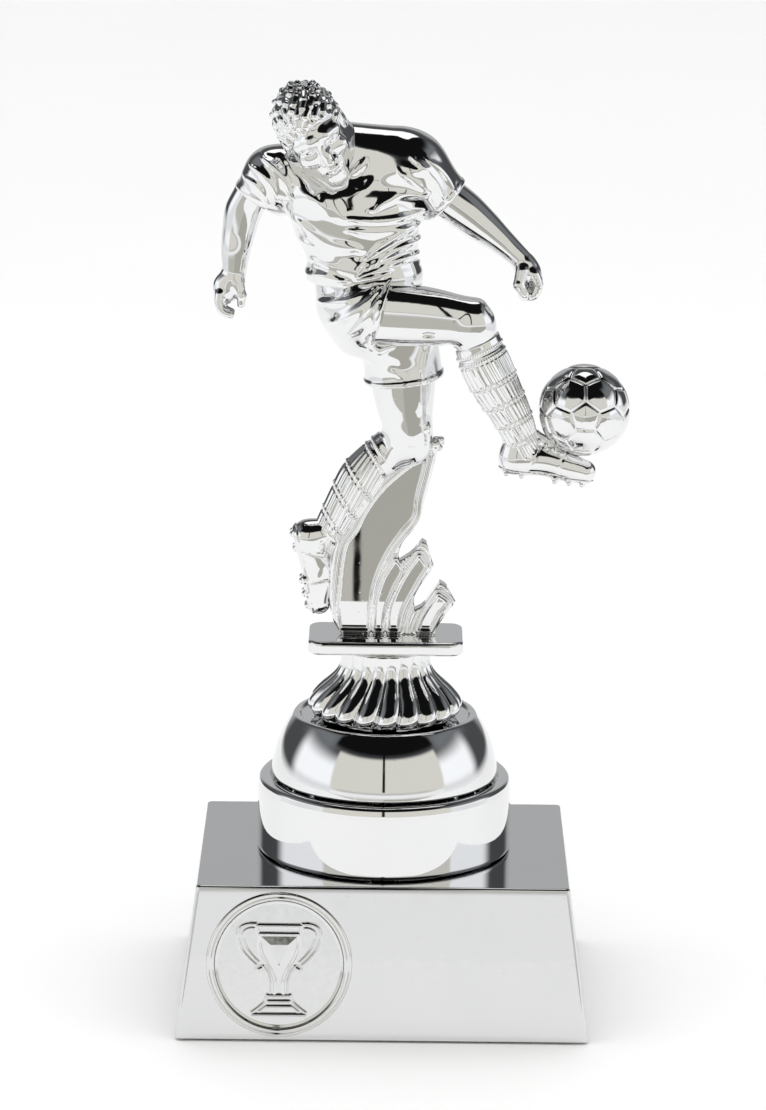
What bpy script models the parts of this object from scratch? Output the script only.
"""Figure trophy: a chromed footballer on a domed, weighted rectangular base.

Metres, +Z up. The player faces -Y and the ball is on the +X side.
The origin is the middle of the underside, on the axis of the clamping rod.
All named dimensions below are in millimetres and are scaled by MM.
"""

import math

import bmesh
import bpy
from mathutils import Matrix, Vector
from mathutils.geometry import interpolate_bezier

MM = 0.001
GAP = 0.3

# base shell: a hollow frustum, open underneath
BASE_BOTTOM = (81.2, 65.4)
BASE_TOP = (73.0, 57.2)
BASE_Z0 = 0.5
BASE_Z1 = 30.7
BASE_WALL = 2.2
BASE_DECK = 2.0
POST_RADIUS = 2.6
POST_INSET = (32.6, 24.8)
POST_Z0 = 3.1

# round emblem on the front face
EMBLEM_X = -20.2
EMBLEM_Z = 15.4
EMBLEM_RADIUS = 12.5
EMBLEM_THICKNESS = 0.8
EMBLEM_RELIEF = 0.4
RECESS_DEPTH = 1.0
RECESS_RADIUS = 12.8
RING_RADIUS = 13.5
RING_HALF_WIDTH = 0.8
RING_HEIGHT = 0.6

# felt and cover underneath
FELT_SIZE = (76.4, 60.6)
FELT_THICKNESS = 1.0
COVER_SIZE = (76.0, 60.2)
COVER_Z = (1.3, 2.8)

# clamping stack on the axis
ROD_RADIUS = 2.5
ROD_Z = (10.0, 66.5)
ROD_CLEARANCE = 3.0
BALLAST_SIZE = (58.0, 42.0)
BALLAST_Z = (21.3, 28.3)
WASHER_RADIUS = 10.0
WASHER_Z = (19.8, 21.0)
SPRING_WASHER_RADIUS = 4.6
SPRING_WASHER_Z = (18.2, 19.5)
NUT_FLATS = 8.0
NUT_BORE = 2.8
BASE_NUT_Z = (13.9, 17.9)
CAPTIVE_NUT_Z = (61.6, 65.6)

# turned column
COLLAR_RADIUS = 25.4
COLLAR_Z = (31.0, 45.6)
DOME_SPHERE_RADIUS = 22.7
DOME_CENTRE_Z = 44.6
DOME_Z = (45.9, 58.5)
DOME_RIM_RADIUS = 16.9
DOME_FLOOR_Z = 57.6

# fluted skirt
FLUTES = 20
FLUTE_TWIST = math.radians(18.0)
FLUTE_DEPTH = 0.55
SKIRT_BASE_RADIUS = 15.2
SKIRT_Z = (57.9, 71.6)

# plate under the figure
PLATE_SIZE = (30.8, 16.6)
PLATE_Z = (71.9, 74.7)
PLATE_CORNER = 2.6

# curved support behind the standing leg
FIN_HALF_THICKNESS = 1.9
FIN_POCKET = 0.6

# ball
BALL_CENTRE = (38.3, -5.0, 121.4)
BALL_RADIUS = 9.1
SEAM_DEPTH = 0.22
# tips the mesh's top pentagon to face the viewer, with one corner up
BALL_TIP = math.radians(88.0)
BALL_SPIN = math.radians(-18.0)

# player
PLAYER_VOXEL = 0.45
PLAYER_KEEP = 0.068


def clear_scene():
    for obj in list(bpy.data.objects):
        bpy.data.objects.remove(obj, do_unlink=True)


clear_scene()

parts = bpy.data.collections.new("figure trophy")
cutters = bpy.data.collections.new("cutters")
bpy.context.scene.collection.children.link(parts)
bpy.context.scene.collection.children.link(cutters)


def material(name, colour, metallic, roughness):
    mat = bpy.data.materials.new(name)
    mat.use_nodes = True
    shader = mat.node_tree.nodes["Principled BSDF"]
    shader.inputs["Base Color"].default_value = (*colour, 1.0)
    shader.inputs["Metallic"].default_value = metallic
    shader.inputs["Roughness"].default_value = roughness
    return mat


CHROME = (0.86, 0.87, 0.88)
STEEL = (0.52, 0.53, 0.55)
ZINC = (0.66, 0.68, 0.70)

MATERIALS = {
    "player": material("player chrome", CHROME, 1.0, 0.04),
    "football": material("football chrome", CHROME, 1.0, 0.05),
    "support_fin": material("support fin chrome", CHROME, 1.0, 0.05),
    "figure_plate": material("figure plate chrome", CHROME, 1.0, 0.05),
    "fluted_skirt": material("fluted skirt chrome", CHROME, 1.0, 0.05),
    "dome": material("dome chrome", CHROME, 1.0, 0.04),
    "collar": material("collar chrome", CHROME, 1.0, 0.04),
    "base_shell": material("base shell chrome", CHROME, 1.0, 0.05),
    "emblem_disc": material("emblem disc foil", (0.80, 0.81, 0.82), 1.0, 0.12),
    "ballast_plate": material("ballast plate steel", STEEL, 1.0, 0.45),
    "clamp_washer": material("clamp washer zinc", ZINC, 1.0, 0.30),
    "spring_washer": material("spring washer steel", STEEL, 1.0, 0.35),
    "base_nut": material("base nut zinc", ZINC, 1.0, 0.28),
    "captive_nut": material("captive nut zinc", ZINC, 1.0, 0.28),
    "tie_rod": material("tie rod zinc", ZINC, 1.0, 0.32),
    "bottom_cover": material("bottom cover board", (0.10, 0.09, 0.08), 0.0, 0.80),
    "felt_pad": material("felt pad", (0.02, 0.02, 0.022), 0.0, 0.95),
}


def link(obj, collection, smooth=True):
    collection.objects.link(obj)
    if collection is cutters:
        obj.hide_render = True
        obj.display_type = "WIRE"
    else:
        obj.data.materials.append(MATERIALS[obj.name])
    for face in obj.data.polygons:
        face.use_smooth = smooth
    return obj


def from_bmesh(name, bm, collection=parts, smooth=True):
    bmesh.ops.recalc_face_normals(bm, faces=bm.faces)
    mesh = bpy.data.meshes.new(name)
    bm.to_mesh(mesh)
    bm.free()
    return link(bpy.data.objects.new(name, mesh), collection, smooth)


def frustum(name, bottom, top, z0, z1, collection=parts):
    """Box whose top and bottom rectangles may differ."""
    bm = bmesh.new()
    bmesh.ops.create_cube(bm, size=1.0)
    for vert in bm.verts:
        size = top if vert.co.z > 0 else bottom
        height = z1 if vert.co.z > 0 else z0
        vert.co = Vector((vert.co.x * size[0], vert.co.y * size[1], height)) * MM
    return from_bmesh(name, bm, collection, smooth=False)


def cylinder(name, radius, z0, z1, collection=parts, sides=48):
    bm = bmesh.new()
    middle = Matrix.Translation((0, 0, 0.5 * (z0 + z1) * MM))
    bmesh.ops.create_cone(
        bm,
        cap_ends=True,
        segments=sides,
        radius1=radius * MM,
        radius2=radius * MM,
        depth=(z1 - z0) * MM,
        matrix=middle,
    )
    return from_bmesh(name, bm, collection, smooth=False)


def turned(name, profile, steps, collection=parts):
    """Closed outline in (radius, height), swept round the vertical axis."""
    bm = bmesh.new()
    verts = [bm.verts.new((r * MM, 0.0, z * MM)) for r, z in profile]
    for first, second in zip(verts, verts[1:] + verts[:1]):
        bm.edges.new((first, second))
    mesh = bpy.data.meshes.new(name)
    bm.to_mesh(mesh)
    bm.free()
    obj = link(bpy.data.objects.new(name, mesh), collection)
    screw = obj.modifiers.new("turn", "SCREW")
    screw.axis = "Z"
    screw.steps = steps
    screw.render_steps = steps
    screw.use_merge_vertices = True
    screw.merge_threshold = 0.00001
    # the winding of the outline decides which side the faces look to
    area = 0.0
    for first, second in zip(profile, profile[1:] + profile[:1]):
        area += first[0] * second[1] - second[0] * first[1]
    screw.use_normal_flip = area > 0
    screw.use_smooth_shade = True
    return obj


def bevel(obj, width, segments, angle=30.0):
    mod = obj.modifiers.new("edge rounding", "BEVEL")
    mod.width = width * MM
    mod.segments = segments
    mod.limit_method = "ANGLE"
    mod.angle_limit = math.radians(angle)
    return mod


def combine(obj, other, operation):
    mod = obj.modifiers.new(operation.lower() + " " + other.name, "BOOLEAN")
    mod.operation = operation
    mod.solver = "EXACT"
    mod.object = other
    return mod


OUTLINE_CUTS = 5


def add_slab(bm, points, smooth_points, y0, y1):
    """Closed Bezier outline in (x, z), added as a slab between y0 and y1."""
    curve = bpy.data.curves.new("outline", "CURVE")
    spline = curve.splines.new("BEZIER")
    spline.bezier_points.add(len(points) - 1)
    spline.use_cyclic_u = True
    for index, (x, z) in enumerate(points):
        point = spline.bezier_points[index]
        point.co = (x * MM, 0.0, z * MM)
        kind = "AUTO" if index in smooth_points else "VECTOR"
        point.handle_left_type = kind
        point.handle_right_type = kind
    helper = bpy.data.objects.new("outline", curve)
    bpy.context.scene.collection.objects.link(helper)
    bpy.context.view_layer.update()
    knots = list(spline.bezier_points)
    path = []
    for index, knot in enumerate(knots):
        after = (index + 1) % len(knots)
        straight = index not in smooth_points and after not in smooth_points
        count = 2 if straight else OUTLINE_CUTS + 1
        goal = knots[after]
        arc = interpolate_bezier(
            knot.co, knot.handle_right, goal.handle_left, goal.co, count
        )
        path += arc[:-1]
    bpy.data.objects.remove(helper, do_unlink=True)
    near = [bm.verts.new((p.x, y0 * MM, p.z)) for p in path]
    far = [bm.verts.new((p.x, y1 * MM, p.z)) for p in path]
    bm.faces.new(near)
    bm.faces.new(far)
    for index in range(len(path)):
        after = (index + 1) % len(path)
        bm.faces.new((near[index], near[after], far[after], far[index]))


# ---------------------------------------------------------------- underside

felt_pad = frustum("felt_pad", FELT_SIZE, FELT_SIZE, 0.0, FELT_THICKNESS)
bevel(felt_pad, 0.25, 1)

bottom_cover = frustum("bottom_cover", COVER_SIZE, COVER_SIZE, *COVER_Z)
bevel(bottom_cover, 0.3, 1)

# --------------------------------------------------------------- base shell

base_shell = frustum("base_shell", BASE_BOTTOM, BASE_TOP, BASE_Z0, BASE_Z1)
bevel(base_shell, 0.7, 3)

inner_bottom = tuple(side - 2.0 * BASE_WALL for side in BASE_BOTTOM)
inner_top = tuple(side - 2.0 * BASE_WALL for side in BASE_TOP)
cavity = frustum(
    "base cavity", inner_bottom, inner_top, BASE_Z0 - 0.5, BASE_Z1 - BASE_DECK, cutters
)
combine(base_shell, cavity, "DIFFERENCE")
rod_hole = cylinder("rod hole", ROD_CLEARANCE, 26.0, 34.0, cutters, 32)
combine(base_shell, rod_hole, "DIFFERENCE")

for sx in (-1, 1):
    for sy in (-1, 1):
        post = cylinder(
            f"corner post {sx} {sy}",
            POST_RADIUS,
            POST_Z0,
            BASE_Z1 - 0.8,
            cutters,
            16,
        )
        post.location = (sx * POST_INSET[0] * MM, sy * POST_INSET[1] * MM, 0)
        combine(base_shell, post, "UNION")

# frame of the emblem: its +Z is the outward direction of the sloping front face
slope = math.atan2(0.5 * (BASE_BOTTOM[1] - BASE_TOP[1]), BASE_Z1 - BASE_Z0)
rise = (EMBLEM_Z - BASE_Z0) / (BASE_Z1 - BASE_Z0)
front_y = -0.5 * (BASE_BOTTOM[1] + (BASE_TOP[1] - BASE_BOTTOM[1]) * rise)
emblem_frame = Matrix.Translation(Vector((EMBLEM_X, front_y, EMBLEM_Z)) * MM)
emblem_frame = emblem_frame @ Matrix.Rotation(math.radians(90.0) - slope, 4, "X")

half = RING_HALF_WIDTH
ring_profile = [
    (RING_RADIUS - half, -0.6),
    (RING_RADIUS + half, -0.6),
    (RING_RADIUS + half, 0.15),
    (RING_RADIUS + 0.55 * half, RING_HEIGHT),
    (RING_RADIUS - 0.55 * half, RING_HEIGHT),
    (RING_RADIUS - half, 0.15),
]
ring = turned("emblem ring", ring_profile, 64, cutters)
ring.matrix_world = emblem_frame
combine(base_shell, ring, "UNION")
recess = cylinder("emblem recess", RECESS_RADIUS, -RECESS_DEPTH, 2.0, cutters, 64)
recess.matrix_world = emblem_frame
combine(base_shell, recess, "DIFFERENCE")

# -------------------------------------------------------------- emblem disc

DISC_Z0 = -RECESS_DEPTH + GAP * 0.5
emblem_disc = cylinder(
    "emblem_disc", EMBLEM_RADIUS, DISC_Z0, DISC_Z0 + EMBLEM_THICKNESS, parts, 64
)
emblem_disc.data.transform(emblem_frame)

# half outline of the cup in the disc's own plane, from the axis outward
CUP_HALF = [
    (0.0, 8.0),
    (5.0, 8.0),
    (5.0, 7.0),
    (4.3, 6.8),
    (4.0, 2.6),
    (2.9, 0.2),
    (1.2, -1.6),
    (0.8, -4.4),
    (2.6, -5.0),
    (2.6, -6.2),
    (4.2, -6.5),
    (4.2, -8.0),
    (0.0, -8.0),
]
relief_top = DISC_Z0 + EMBLEM_THICKNESS + EMBLEM_RELIEF
cup_outline = CUP_HALF[1:-1] + [(-x, y) for x, y in reversed(CUP_HALF[1:-1])]
bm = bmesh.new()
low = [bm.verts.new((x * MM, y * MM, (DISC_Z0 + 0.3) * MM)) for x, y in cup_outline]
top = [bm.verts.new((x * MM, y * MM, relief_top * MM)) for x, y in cup_outline]
bm.faces.new(low)
bm.faces.new(top)
for index in range(len(low)):
    after = (index + 1) % len(low)
    bm.faces.new((low[index], low[after], top[after], top[index]))
cup = from_bmesh("emblem cup", bm, cutters, smooth=False)
cup.matrix_world = emblem_frame
combine(emblem_disc, cup, "UNION")

for side in (-1, 1):
    handle_profile = [
        (1.9, DISC_Z0 + 0.3),
        (2.6, DISC_Z0 + 0.3),
        (2.6, relief_top - 0.05),
        (1.9, relief_top - 0.05),
    ]
    handle = turned(f"emblem handle {side}", handle_profile, 24, cutters)
    handle.matrix_world = emblem_frame @ Matrix.Translation(
        (side * 5.4 * MM, 4.1 * MM, 0)
    )
    combine(emblem_disc, handle, "UNION")

# ----------------------------------------------------- ballast and clamping

ballast_plate = frustum("ballast_plate", BALLAST_SIZE, BALLAST_SIZE, *BALLAST_Z)
bevel(ballast_plate, 0.6, 1)
ballast_hole = cylinder("ballast hole", ROD_CLEARANCE, 18.0, 32.0, cutters, 32)
combine(ballast_plate, ballast_hole, "DIFFERENCE")


def ring_washer(name, outer, z0, z1):
    profile = [
        (ROD_CLEARANCE, z0),
        (outer, z0),
        (outer, z1),
        (ROD_CLEARANCE, z1),
    ]
    return turned(name, profile, 40)


ring_washer("clamp_washer", WASHER_RADIUS, *WASHER_Z)
ring_washer("spring_washer", SPRING_WASHER_RADIUS, *SPRING_WASHER_Z)


def hex_nut(name, z0, z1):
    nut = cylinder(name, 0.5 * NUT_FLATS / math.cos(math.pi / 6), z0, z1, parts, 6)
    bevel(nut, 0.35, 1, 40.0)
    bore = cylinder(name + " bore", NUT_BORE, z0 - 1.0, z1 + 1.0, cutters, 32)
    combine(nut, bore, "DIFFERENCE")
    return nut


hex_nut("base_nut", *BASE_NUT_Z)
hex_nut("captive_nut", *CAPTIVE_NUT_Z)

tie_rod = cylinder("tie_rod", ROD_RADIUS, *ROD_Z, parts, 32)
bevel(tie_rod, 0.5, 1)

# ------------------------------------------------------------ collar, dome

inner = COLLAR_RADIUS - 1.6
collar_low, collar_high = COLLAR_Z
collar_profile = [
    (COLLAR_RADIUS, collar_low),
    (COLLAR_RADIUS, collar_high - 3.2),
    (COLLAR_RADIUS - 0.3, collar_high - 1.6),
    (COLLAR_RADIUS - 0.9, collar_high - 0.5),
    (COLLAR_RADIUS - 1.7, collar_high),
    (ROD_CLEARANCE, collar_high),
    (ROD_CLEARANCE, collar_high - 2.0),
    (inner - 0.6, collar_high - 2.0),
    (inner, collar_high - 3.2),
    (inner, collar_low),
]
turned("collar", collar_profile, 60)


def dome_radius(z):
    return math.sqrt(DOME_SPHERE_RADIUS**2 - (z - DOME_CENTRE_Z) ** 2)


dome_low, dome_high = DOME_Z
DOME_RINGS = 6
wall_outer = []
for index in range(DOME_RINGS):
    z = dome_low + (dome_high - 0.7 - dome_low) * index / (DOME_RINGS - 1)
    wall_outer.append((dome_radius(z), z))
dome_profile = wall_outer + [
    (DOME_RIM_RADIUS + 0.45, dome_high - 0.12),
    (DOME_RIM_RADIUS, dome_high),
    (DOME_RIM_RADIUS - 0.45, dome_high - 0.15),
    (DOME_RIM_RADIUS - 0.7, DOME_FLOOR_Z),
    (ROD_CLEARANCE, DOME_FLOOR_Z),
    (ROD_CLEARANCE, DOME_FLOOR_Z - 2.0),
    (14.6, DOME_FLOOR_Z - 2.0),
    (18.6, 52.0),
    (20.8, dome_low),
]
turned("dome", dome_profile, 60)

# ------------------------------------------------------------ fluted skirt

skirt_low, skirt_high = SKIRT_Z
# (height, radius over the lobes, share of full flute depth, share of the twist)
SKIRT_RINGS = [
    (skirt_low, SKIRT_BASE_RADIUS, 0.0, 0.0),
    (skirt_low + 0.7, SKIRT_BASE_RADIUS, 0.0, 0.0),
    (skirt_low + 0.9, 14.0, 0.4, 0.0),
    (59.7, 14.8, 1.0, 0.04),
    (60.7, 14.9, 1.2, 0.12),
    (62.0, 14.1, 1.3, 0.25),
    (63.4, 12.9, 1.2, 0.42),
    (64.8, 11.5, 1.1, 0.60),
    (66.2, 10.0, 0.9, 0.78),
    (67.6, 9.0, 0.8, 0.90),
    (69.2, 8.7, 0.7, 1.0),
    (skirt_high, 8.8, 0.7, 1.0),
]
FLUTE_STEPS = 4
bm = bmesh.new()
rings = []
for height, radius, depth, twist in SKIRT_RINGS:
    ring_verts = []
    for index in range(FLUTES * FLUTE_STEPS):
        phase = (index % FLUTE_STEPS) / FLUTE_STEPS
        dip = (1.0 - abs(math.sin(math.pi * phase))) * FLUTE_DEPTH * depth
        angle = 2.0 * math.pi * index / (FLUTES * FLUTE_STEPS)
        angle += FLUTE_TWIST * twist
        reach = (radius - dip) * MM
        spot = (reach * math.cos(angle), reach * math.sin(angle), height * MM)
        ring_verts.append(bm.verts.new(spot))
    rings.append(ring_verts)
bm.faces.new(rings[0])
bm.faces.new(rings[-1])
for lower, upper in zip(rings, rings[1:]):
    for index in range(len(lower)):
        after = (index + 1) % len(lower)
        bm.faces.new((lower[index], lower[after], upper[after], upper[index]))
fluted_skirt = from_bmesh("fluted_skirt", bm)
nut_seat = cylinder(
    "nut seat",
    (0.5 * NUT_FLATS + GAP) / math.cos(math.pi / 6),
    skirt_low - 2.0,
    CAPTIVE_NUT_Z[1] + GAP,
    cutters,
    6,
)
combine(fluted_skirt, nut_seat, "DIFFERENCE")
rod_bore = cylinder(
    "rod blind hole", ROD_CLEARANCE, 60.0, ROD_Z[1] + GAP + 0.5, cutters, 32
)
combine(fluted_skirt, rod_bore, "DIFFERENCE")

# -------------------------------------------------------------- figure plate

figure_plate = frustum("figure_plate", PLATE_SIZE, PLATE_SIZE, *PLATE_Z)
corner_weight = figure_plate.modifiers.new("corner rounding", "BEVEL")
corner_weight.width = PLATE_CORNER * MM
corner_weight.segments = 5
corner_weight.limit_method = "WEIGHT"
crease = figure_plate.data.attributes.new("bevel_weight_edge", "FLOAT", "EDGE")
for edge in figure_plate.data.edges:
    first, second = (figure_plate.data.vertices[i].co for i in edge.vertices)
    upright = abs(first.z - second.z) > 0.5 * MM
    crease.data[edge.index].value = 1.0 if upright else 0.0
bevel(figure_plate, 0.4, 2, 60.0)

# --------------------------------------------------------------- support fin

fin_foot = PLATE_Z[1] + GAP
FIN_OUTLINE = [
    (-9.0, fin_foot),
    (-9.9, 79.0),
    (-9.5, 84.0),
    (-8.8, 88.0),
    (-8.2, 91.8),
    (-4.2, 97.5),
    (-1.3, 102.9),
    (3.9, 108.7),
    (8.2, 111.4),
    (10.3, 113.6),
    (10.0, 112.2),
    (8.4, 104.5),
    (6.9, 98.4),
    (5.0, 95.6),
    (2.6, 92.3),
    (2.3, 89.9),
    (4.2, 90.8),
    (6.9, 93.6),
    (7.7, 93.3),
    (9.4, 88.8),
    (7.9, 86.8),
    (5.6, 82.2),
    (5.6, 79.8),
    (7.1, 80.7),
    (10.5, 85.3),
    (11.3, 85.0),
    (13.7, 81.6),
    (11.3, 78.1),
    (9.6, fin_foot),
]
FIN_SMOOTH = (2, 3, 5, 6, 7, 11, 13, 20, 27)
bm = bmesh.new()
add_slab(bm, FIN_OUTLINE, FIN_SMOOTH, -FIN_HALF_THICKNESS, FIN_HALF_THICKNESS)
support_fin = from_bmesh("support_fin", bm, parts, smooth=False)
FIN_POCKETS = {
    "main": [
        (-8.0, 76.4),
        (-8.7, 80.0),
        (-8.2, 85.5),
        (-7.3, 91.0),
        (-3.4, 97.0),
        (-0.2, 102.3),
        (4.6, 107.8),
        (7.8, 110.0),
        (6.9, 105.0),
        (5.4, 98.8),
        (2.9, 95.6),
        (0.2, 91.7),
        (-1.9, 87.0),
        (-3.1, 81.7),
        (-3.6, 76.4),
    ],
    "upper": [
        (-2.1, 76.4),
        (-1.7, 81.7),
        (-0.4, 86.0),
        (1.8, 89.6),
        (3.0, 88.6),
        (1.3, 84.1),
        (-0.2, 79.7),
        (-0.8, 76.4),
    ],
    "middle": [
        (0.5, 76.4),
        (0.9, 79.8),
        (2.2, 83.5),
        (4.4, 87.6),
        (6.6, 90.6),
        (7.6, 88.2),
        (4.8, 83.0),
        (2.6, 78.8),
        (2.0, 76.4),
    ],
    "lower": [
        (7.0, 76.4),
        (8.3, 79.8),
        (10.8, 82.5),
        (12.2, 80.9),
        (10.2, 78.2),
        (9.3, 76.4),
    ],
}
bm = bmesh.new()
for name, outline in FIN_POCKETS.items():
    smooth_points = (1, 2, len(outline) - 2)
    if name == "main":
        smooth_points = (1, 2, 4, 5, 6, 8, 10, 11, 12, 13)
    for side in (-1, 1):
        floor = side * (FIN_HALF_THICKNESS - FIN_POCKET)
        outside = side * (FIN_HALF_THICKNESS + 1.0)
        add_slab(bm, outline, smooth_points, floor, outside)
fin_pockets = from_bmesh("fin pockets", bm, cutters, smooth=False)
combine(support_fin, fin_pockets, "DIFFERENCE")

# ------------------------------------------------------------------ football
# Twelve pentagons and twenty hexagons, each a fan of small faces on the sphere
# with a narrow strip running down into the seam round it.

solid = bmesh.new()
bmesh.ops.create_icosphere(solid, subdivisions=1, radius=1.0)
panels = []
for face in solid.faces:
    corners = [vert.co for vert in face.verts]
    hexagon = []
    for start, end in zip(corners, corners[1:] + corners[:1]):
        hexagon += [start.lerp(end, 1 / 3), start.lerp(end, 2 / 3)]
    panels.append(hexagon)
for vert in solid.verts:
    pentagon = [vert.co.lerp(e.other_vert(vert).co, 1 / 3) for e in vert.link_edges]
    normal = vert.co.normalized()
    along = (pentagon[0] - normal * pentagon[0].dot(normal)).normalized()
    across = normal.cross(along)
    pentagon.sort(key=lambda p: math.atan2(across.dot(p), along.dot(p)))
    panels.append(pentagon)
solid.free()

SEAM_SHARE = 0.92
FAN_CUTS = 2
seam_level = 1.0 - SEAM_DEPTH / BALL_RADIUS
bm = bmesh.new()


def on_ball(point, level):
    return bm.verts.new(point.normalized() * level)


for corners in panels:
    centre = sum(corners, Vector()) / len(corners)
    for start, end in zip(corners, corners[1:] + corners[:1]):
        inner_start = centre.lerp(start, SEAM_SHARE)
        inner_end = centre.lerp(end, SEAM_SHARE)
        rows = []
        for row in range(FAN_CUTS + 1):
            left = centre.lerp(inner_start, row / FAN_CUTS)
            right = centre.lerp(inner_end, row / FAN_CUTS)
            steps = max(row, 1)
            spots = [left.lerp(right, i / steps) for i in range(row + 1)]
            rows.append([on_ball(spot, 1.0) for spot in spots])
        for upper, lower in zip(rows, rows[1:]):
            for index in range(len(upper)):
                bm.faces.new((upper[index], lower[index], lower[index + 1]))
            for index in range(len(upper) - 1):
                bm.faces.new((upper[index], lower[index + 1], upper[index + 1]))
        spots = [start.lerp(end, i / FAN_CUTS) for i in range(FAN_CUTS + 1)]
        seam = [on_ball(spot, seam_level) for spot in spots]
        rim = rows[-1]
        for index in range(FAN_CUTS):
            bm.faces.new((rim[index], seam[index], seam[index + 1]))
            bm.faces.new((rim[index], seam[index + 1], rim[index + 1]))
bmesh.ops.remove_doubles(bm, verts=bm.verts, dist=0.0005)
lean = Matrix.Rotation(BALL_TIP, 4, "X") @ Matrix.Rotation(BALL_SPIN, 4, "Z")
place = Matrix.Translation(Vector(BALL_CENTRE) * MM)
bm.transform(place @ lean @ Matrix.Scale(BALL_RADIUS * MM, 4))
from_bmesh("football", bm)

# -------------------------------------------------------------------- player
# A mass is (x, y, z, rx, ry, rz); consecutive masses in a chain are bridged
# by their convex hull, and all chains are fused into one closed body.


def ball(x, y, z, r, ry=None, rz=None):
    return (x, y, z, r, r if ry is None else ry, r if rz is None else rz)


CHEST = ball(-8.2, 0.6, 164.6, 12.4, 7.4, 8.0)
RIBS = ball(-6.4, 0.2, 155.0, 12.1, 8.0, 8.0)
WAIST = ball(-4.8, 0.6, 146.6, 10.8, 7.4, 5.0)
PELVIS = ball(-3.7, 0.8, 139.2, 10.3, 8.6, 8.8)
LEFT_SHOULDER = ball(4.0, 0.6, 168.0, 6.6)
RIGHT_SHOULDER = ball(-22.6, 2.0, 165.8, 5.5)
NECK_BASE = ball(-7.2, 1.6, 171.2, 5.0)
NECK_TOP = ball(-12.0, -1.2, 175.0, 4.5)

CHAINS = {
    "torso": [CHEST, RIBS, WAIST, PELVIS],
    "yoke": [RIGHT_SHOULDER, ball(-8.8, 1.4, 168.2, 6.6), LEFT_SHOULDER],
    "left flank": [LEFT_SHOULDER, RIBS],
    "neck": [NECK_BASE, NECK_TOP],
    "trapezius": [NECK_BASE, LEFT_SHOULDER],
    "left sleeve": [LEFT_SHOULDER, ball(11.0, 1.2, 161.4, 5.0)],
    "left forearm": [
        ball(12.8, 1.6, 160.2, 3.7),
        ball(20.0, 1.0, 155.0, 2.8),
        ball(26.4, 0.0, 150.0, 1.8),
    ],
    "left fist": [
        ball(27.6, -0.2, 148.5, 2.7, 2.3, 2.4),
        ball(28.3, -0.4, 145.4, 2.8, 2.9, 3.0),
    ],
    "right sleeve": [RIGHT_SHOULDER, ball(-25.8, 3.2, 161.6, 5.0)],
    "right forearm": [
        ball(-27.4, 4.0, 160.0, 3.8),
        ball(-29.3, 4.8, 157.4, 3.3),
        ball(-29.7, 3.8, 152.0, 2.8),
        ball(-30.1, 3.0, 147.0, 2.0),
    ],
    "right hand": [
        ball(-30.4, 2.8, 145.4, 2.3, 1.6, 1.8),
        ball(-31.4, 2.2, 141.8, 2.4, 1.6, 2.4),
        ball(-31.2, 1.4, 138.8, 1.6, 1.4, 1.6),
    ],
    "right thumb": [ball(-28.8, 2.2, 144.4, 1.4), ball(-28.3, 1.2, 140.4, 1.0)],
    "right hip": [PELVIS, ball(-1.8, -5.2, 140.0, 4.2, 6.4, 7.2)],
    "right thigh": [
        ball(-1.0, -5.8, 140.2, 6.0),
        ball(9.0, -7.4, 139.9, 5.5),
        ball(15.2, -8.0, 139.6, 4.6),
    ],
    "right shin": [
        ball(15.2, -8.0, 139.0, 4.3),
        ball(16.9, -7.9, 136.0, 4.3),
        ball(18.8, -7.4, 130.6, 5.0),
        ball(21.2, -6.9, 126.0, 4.6),
        ball(24.4, -6.2, 120.4, 3.9),
        ball(26.0, -5.9, 116.6, 3.7),
    ],
    "right boot": [
        ball(25.6, -5.8, 115.4, 3.5, 3.1, 2.6),
        ball(25.1, -5.6, 111.3, 3.2, 2.9, 3.4),
        ball(31.0, -5.8, 110.7, 3.2, 3.0, 3.0),
        ball(38.4, -6.0, 109.4, 2.7, 2.9, 1.9),
    ],
    "left shorts": [
        ball(0.8, 1.4, 136.4, 8.8, 7.6, 8.0),
        ball(2.8, 1.4, 128.0, 8.3, 7.0, 3.0),
        ball(3.0, 1.4, 124.4, 8.4, 7.0, 1.8),
    ],
    "left thigh": [
        ball(2.9, 1.2, 127.0, 6.4),
        ball(3.5, 1.0, 118.6, 5.6),
        ball(4.3, 0.8, 114.0, 4.2),
    ],
    "left shin": [
        ball(4.3, 0.8, 114.0, 4.2),
        ball(-0.2, 0.6, 111.9, 3.9),
        ball(-5.8, 0.6, 105.6, 4.5),
        ball(-7.5, 0.4, 101.1, 3.9),
        ball(-11.3, 0.2, 95.2, 3.2),
    ],
    "left boot": [
        ball(-11.6, 0.2, 94.9, 3.0),
        ball(-15.8, 0.2, 94.1, 2.9, 2.9, 2.9),
        ball(-13.2, 0.1, 88.0, 3.4, 3.1, 3.1),
        ball(-13.4, 0.0, 83.4, 2.9, 3.0, 2.8),
        ball(-13.0, 0.0, 80.6, 2.2, 2.5, 2.3),
    ],
}

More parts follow.
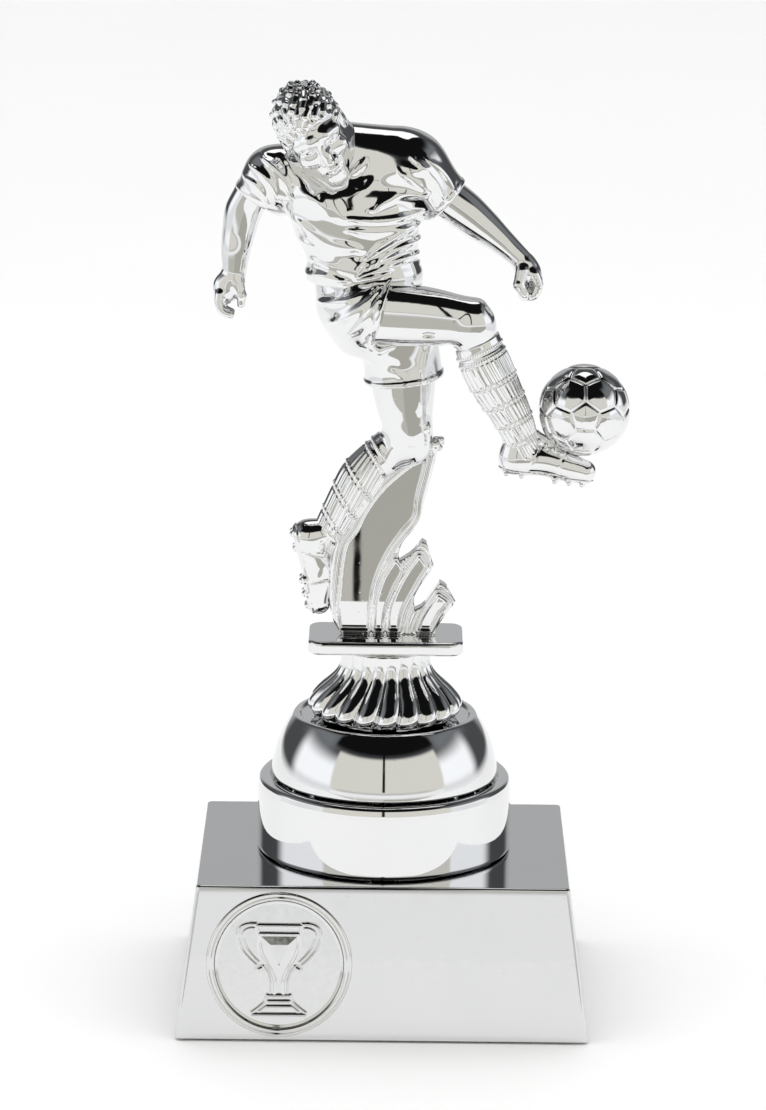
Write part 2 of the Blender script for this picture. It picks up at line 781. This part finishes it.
# head: an upright set of masses, then turned to look down at the ball
HEAD_PLACE = (-15.2, -5.6, 176.7)
HEAD_UP = Vector((-0.41, -0.43, 0.80)).normalized()
HEAD_FACING = Vector((0.27, -0.90, -0.34))
HEAD_MASSES = {
    "skull": [ball(0, 1.2, 2.8, 6.6, 7.9, 7.0)],
    "face": [ball(0, -1.6, 1.0, 5.3, 5.4, 5.2), ball(0, -3.2, -6.2, 3.0, 3.0, 2.6)],
    "jaw": [ball(0, 1.0, -3.0, 4.8, 4.0, 3.0), ball(0, -3.4, -7.0, 2.4, 2.4, 1.8)],
    "nose": [ball(0, -6.4, 0.6, 0.8, 0.8, 0.8), ball(0, -7.9, -2.0, 1.1, 1.0, 0.8)],
    "brow": [ball(-2.6, -5.6, 1.6, 1.6, 1.2, 0.8), ball(2.6, -5.6, 1.6, 1.6, 1.2, 0.8)],
    "ear +x": [ball(6.0, 0.8, -0.4, 0.8, 1.4, 2.0)],
    "ear -x": [ball(-6.0, 0.8, -0.4, 0.8, 1.4, 2.0)],
}


def hull_body(target, masses, frame):
    """Convex hull round the given ellipsoids, added to the target mesh."""
    points = []
    for x, y, z, rx, ry, rz in masses:
        size = Matrix.Diagonal((rx * MM, ry * MM, rz * MM, 1.0))
        spot = Matrix.Translation(Vector((x, y, z)) * MM)
        whole = frame @ spot @ size
        points += [whole @ direction for direction in DIRECTIONS]
    fresh = [target.verts.new(point) for point in points]
    result = bmesh.ops.convex_hull(target, input=fresh)
    inside = {g for g in result["geom_interior"] if isinstance(g, bmesh.types.BMVert)}
    bmesh.ops.delete(target, geom=list(inside), context="VERTS")


unit = bmesh.new()
bmesh.ops.create_icosphere(unit, subdivisions=3, radius=1.0)
DIRECTIONS = [vert.co.copy() for vert in unit.verts]
unit.free()

bm = bmesh.new()
still = Matrix.Identity(4)
for chain in CHAINS.values():
    for first, second in zip(chain, chain[1:]):
        hull_body(bm, [first, second], still)

facing = (HEAD_FACING - HEAD_UP * HEAD_FACING.dot(HEAD_UP)).normalized()
side = (-facing).cross(HEAD_UP)
turn = Matrix((side, -facing, HEAD_UP)).transposed().to_4x4()
head_frame = Matrix.Translation(Vector(HEAD_PLACE) * MM) @ turn
for masses in HEAD_MASSES.values():
    hull_body(bm, masses, head_frame)

player = from_bmesh("player", bm)
fuse = player.modifiers.new("fuse masses", "REMESH")
fuse.mode = "VOXEL"
fuse.voxel_size = PLAYER_VOXEL * MM
soften = player.modifiers.new("soften joins", "SMOOTH")
soften.factor = 0.5
soften.iterations = 5
reduce = player.modifiers.new("reduce", "DECIMATE")
reduce.ratio = PLAYER_KEEP
reduce.use_collapse_triangulate = True
